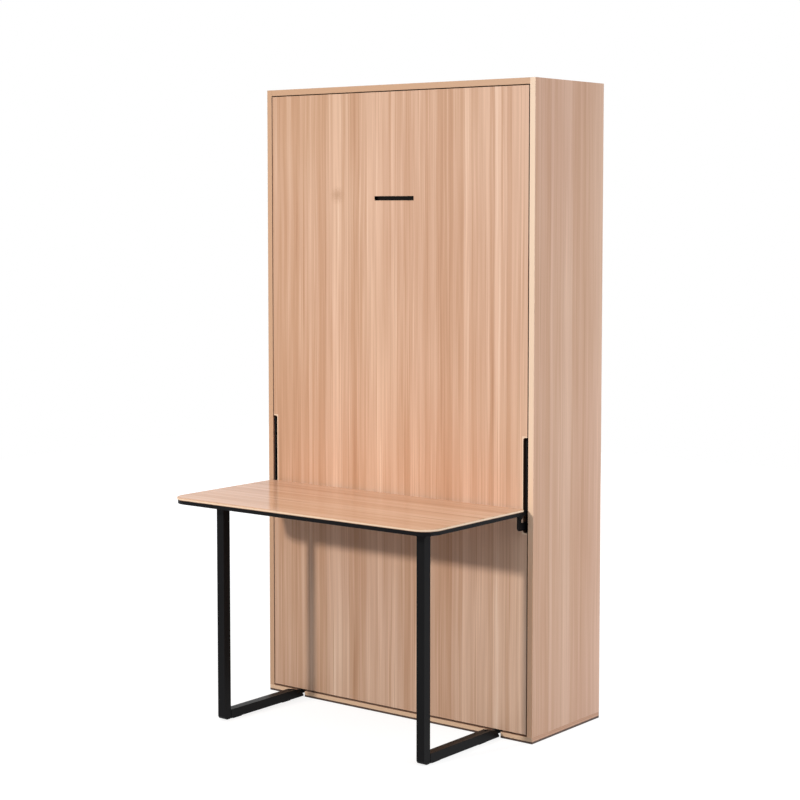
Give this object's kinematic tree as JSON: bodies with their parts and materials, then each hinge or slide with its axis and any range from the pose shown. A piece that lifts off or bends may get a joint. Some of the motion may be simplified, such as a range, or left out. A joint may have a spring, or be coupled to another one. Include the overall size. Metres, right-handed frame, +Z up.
{
  "type": "wall bed with folding desk",
  "caption": "Upright wall bed cabinet whose front panel folds down as a bed, with a desk on folding legs that stays level and slides under the lowered bed.",
  "frame": {"origin": "middle of the cabinet's base, on the floor", "axes": "+X to the right, +Y to the wall, +Z up; the bed is closed"},
  "size_m": [1.11, 0.916, 2.1],
  "materials": {
    "cabinet_wood": "satin laminate with a vertical wood grain",
    "panel_wood": "satin laminate with a vertical wood grain",
    "base_wood": "pale satin edge",
    "back_board": "matt board",
    "desk_wood": "semi-gloss laminate with the grain along the width",
    "block_wood": "plain wood",
    "slat_wood": "clear lacquer",
    "black_steel": "black powder coat",
    "pull_steel": "black satin",
    "zinc": "zinc plated",
    "spring_paint": "gloss black",
    "rod_chrome": "polished",
    "rubber": "matt",
    "cap_plastic": "moulded",
    "ticking": "knitted ticking",
    "webbing": "woven webbing"
  },
  "bodies": {
    "cabinet": {"side_panel_left": "cabinet_wood", "side_panel_right": "cabinet_wood", "top_panel": "cabinet_wood", "base_panel": "base_wood", "back_panel": "back_board", "wall_rails": "block_wood", "pivot_plate_left": "zinc", "pivot_plate_right": "zinc", "plate_screws": "zinc", "spring_bracket_left": "black_steel", "spring_bracket_right": "black_steel", "stop_blocks": "block_wood", "stop_buffers": "rubber", "magnet_catch": "cap_plastic"},
    "bed": {"front_panel": "panel_wood", "flush_pull": "pull_steel", "side_rail_left": "black_steel", "side_rail_right": "black_steel", "head_rail": "black_steel", "foot_rail": "black_steel", "cross_bars": "black_steel", "slats": "slat_wood", "slat_caps": "cap_plastic", "mattress": "ticking", "mattress_straps": "webbing", "strap_anchors": "zinc", "bed_plate_left": "zinc", "bed_plate_right": "zinc", "desk_lug_left": "black_steel", "desk_lug_right": "black_steel", "bar_ear_left": "black_steel", "bar_ear_right": "black_steel", "ear_pins": "black_steel", "frame_screws": "zinc", "catch_plate": "zinc"},
    "desk": {"desk_top": "desk_wood", "desk_front_rail": "black_steel", "desk_rear_rail": "black_steel", "desk_arm_left": "black_steel", "desk_arm_right": "black_steel", "leg_bracket_left": "black_steel", "leg_bracket_right": "black_steel", "arm_pins": "black_steel", "leg_pins": "black_steel", "desk_screws": "zinc"},
    "leg_left": {"leg_left": "black_steel", "knee_pin_left": "black_steel"},
    "bar_left": {"floor_bar_left": "black_steel", "bar_pads_left": "rubber"},
    "link_left": {"control_link_left": "black_steel"},
    "cylinder_left": {"spring_cylinder_left": "spring_paint"},
    "rod_left": {"spring_rod_left": "rod_chrome"},
    "leg_right": {"leg_right": "black_steel", "knee_pin_right": "black_steel"},
    "bar_right": {"floor_bar_right": "black_steel", "bar_pads_right": "rubber"},
    "link_right": {"control_link_right": "black_steel"},
    "cylinder_right": {"spring_cylinder_right": "spring_paint"},
    "rod_right": {"spring_rod_right": "rod_chrome"}
  },
  "joints": [
    {"name": "bed_fold", "type": "hinge", "parent": "cabinet", "child": "bed", "pos_m": [0, -0.186, 0.35], "axis": [1, 0, 0], "range_deg": [0, 90]},
    {"name": "desk_level", "type": "hinge", "parent": "bed", "child": "desk", "pos_m": [0, -0.228, 0.73], "axis": [1, 0, 0], "range_deg": [-90, 0]},
    {"name": "leg_fold_left", "type": "hinge", "parent": "desk", "child": "leg_left", "pos_m": [-0.414, -0.576, 0.724], "axis": [1, 0, 0], "range_deg": [0, 90]},
    {"name": "bar_fold_left", "type": "hinge", "parent": "leg_left", "child": "bar_left", "pos_m": [-0.414, -0.576, 0.011], "axis": [1, 0, 0], "range_deg": [-90, 0]},
    {"name": "link_swing_left", "type": "hinge", "parent": "cabinet", "child": "link_left", "pos_m": [-0.535, -0.146, 0.581], "axis": [1, 0, 0], "range_deg": [0, 90]},
    {"name": "spring_swing_left", "type": "hinge", "parent": "cabinet", "child": "cylinder_left", "pos_m": [-0.504, -0.02, 0.74], "axis": [1, 0, 0], "range_deg": [0, 6]},
    {"name": "spring_stroke_left", "type": "slide", "parent": "cylinder_left", "child": "rod_left", "axis": [0, -0.2553, -0.9669], "range_m": [-0.158, 0]},
    {"name": "leg_fold_right", "type": "hinge", "parent": "desk", "child": "leg_right", "pos_m": [0.414, -0.576, 0.724], "axis": [1, 0, 0], "range_deg": [0, 90]},
    {"name": "bar_fold_right", "type": "hinge", "parent": "leg_right", "child": "bar_right", "pos_m": [0.414, -0.576, 0.011], "axis": [1, 0, 0], "range_deg": [-90, 0]},
    {"name": "link_swing_right", "type": "hinge", "parent": "cabinet", "child": "link_right", "pos_m": [0.535, -0.146, 0.581], "axis": [1, 0, 0], "range_deg": [0, 90]},
    {"name": "spring_swing_right", "type": "hinge", "parent": "cabinet", "child": "cylinder_right", "pos_m": [0.504, -0.02, 0.74], "axis": [1, 0, 0], "range_deg": [0, 6]},
    {"name": "spring_stroke_right", "type": "slide", "parent": "cylinder_right", "child": "rod_right", "axis": [0, -0.2553, -0.9669], "range_m": [-0.158, 0]}
  ],
  "couplings": [
    {"joint": "desk_level", "follows": "bed_fold", "ratio": -1},
    {"joint": "leg_fold_left", "follows": "bed_fold", "ratio": 1},
    {"joint": "bar_fold_left", "follows": "bed_fold", "ratio": -1},
    {"joint": "link_swing_left", "follows": "bed_fold", "ratio": 1},
    {"joint": "spring_swing_left", "follows": "bed_fold", "ratio": 0.06499},
    {"joint": "spring_stroke_left", "follows": "bed_fold", "m_per_rad": -0.099792},
    {"joint": "leg_fold_right", "follows": "bed_fold", "ratio": 1},
    {"joint": "bar_fold_right", "follows": "bed_fold", "ratio": -1},
    {"joint": "link_swing_right", "follows": "bed_fold", "ratio": 1},
    {"joint": "spring_swing_right", "follows": "bed_fold", "ratio": 0.06499},
    {"joint": "spring_stroke_right", "follows": "bed_fold", "m_per_rad": -0.099792}
  ]
}
